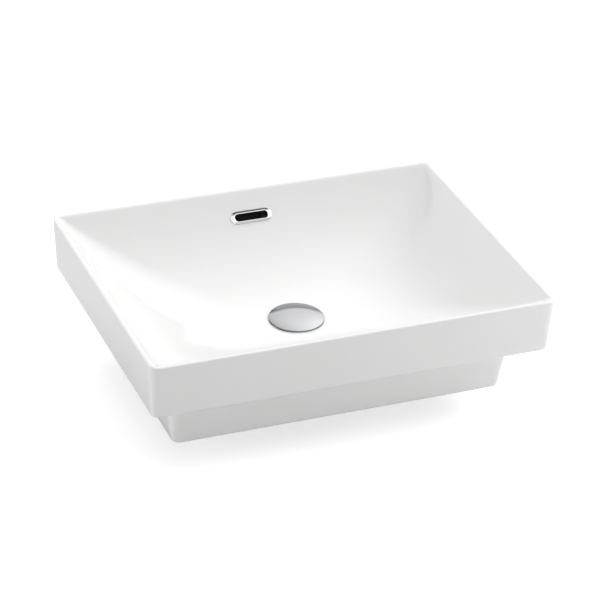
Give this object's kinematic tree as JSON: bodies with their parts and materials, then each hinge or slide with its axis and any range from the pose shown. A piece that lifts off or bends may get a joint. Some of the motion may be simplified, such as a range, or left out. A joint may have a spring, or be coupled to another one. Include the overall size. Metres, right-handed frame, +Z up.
{
  "type": "semi recessed basin",
  "caption": "Rectangular semi recessed ceramic wash basin with a softly sloping bowl, an oblong overflow trim and a push-to-open waste with a domed cap.",
  "frame": {"origin": "centre of the ledge that rests on the worktop, at the worktop's upper face", "axes": "+X along the length, to the right; +Y towards the back wall with the overflow; +Z up"},
  "size_m": [0.4998, 0.3748, 0.1715],
  "materials": {
    "vitreous_china": "glossy white glaze",
    "chrome_plate": "polished plating on brass",
    "bare_brass": "turned",
    "seal_rubber": "matt",
    "grip_rubber": "matt",
    "washer_plastic": "matt",
    "carrier_plastic": "moulded",
    "spring_steel": "drawn wire"
  },
  "bodies": {
    "basin": {"ceramic_basin": "vitreous_china", "overflow_trim": "chrome_plate", "overflow_grip": "grip_rubber", "waste_body": "chrome_plate", "flange_seal": "seal_rubber", "lower_gasket": "seal_rubber", "slip_washer": "washer_plastic", "back_nut": "bare_brass", "cartridge_barrel": "bare_brass", "cartridge_end_plug": "bare_brass", "cartridge_spring": "spring_steel"},
    "plug": {"plug_cap": "chrome_plate", "plug_carrier": "carrier_plastic", "plug_seal": "seal_rubber", "plunger": "bare_brass", "index_rotor": "carrier_plastic"}
  },
  "joints": [
    {"name": "plug_press", "type": "slide", "parent": "basin", "child": "plug", "axis": [0, 0, 1], "range_m": [0, 0.008], "deforming": ["cartridge_spring"]}
  ]
}
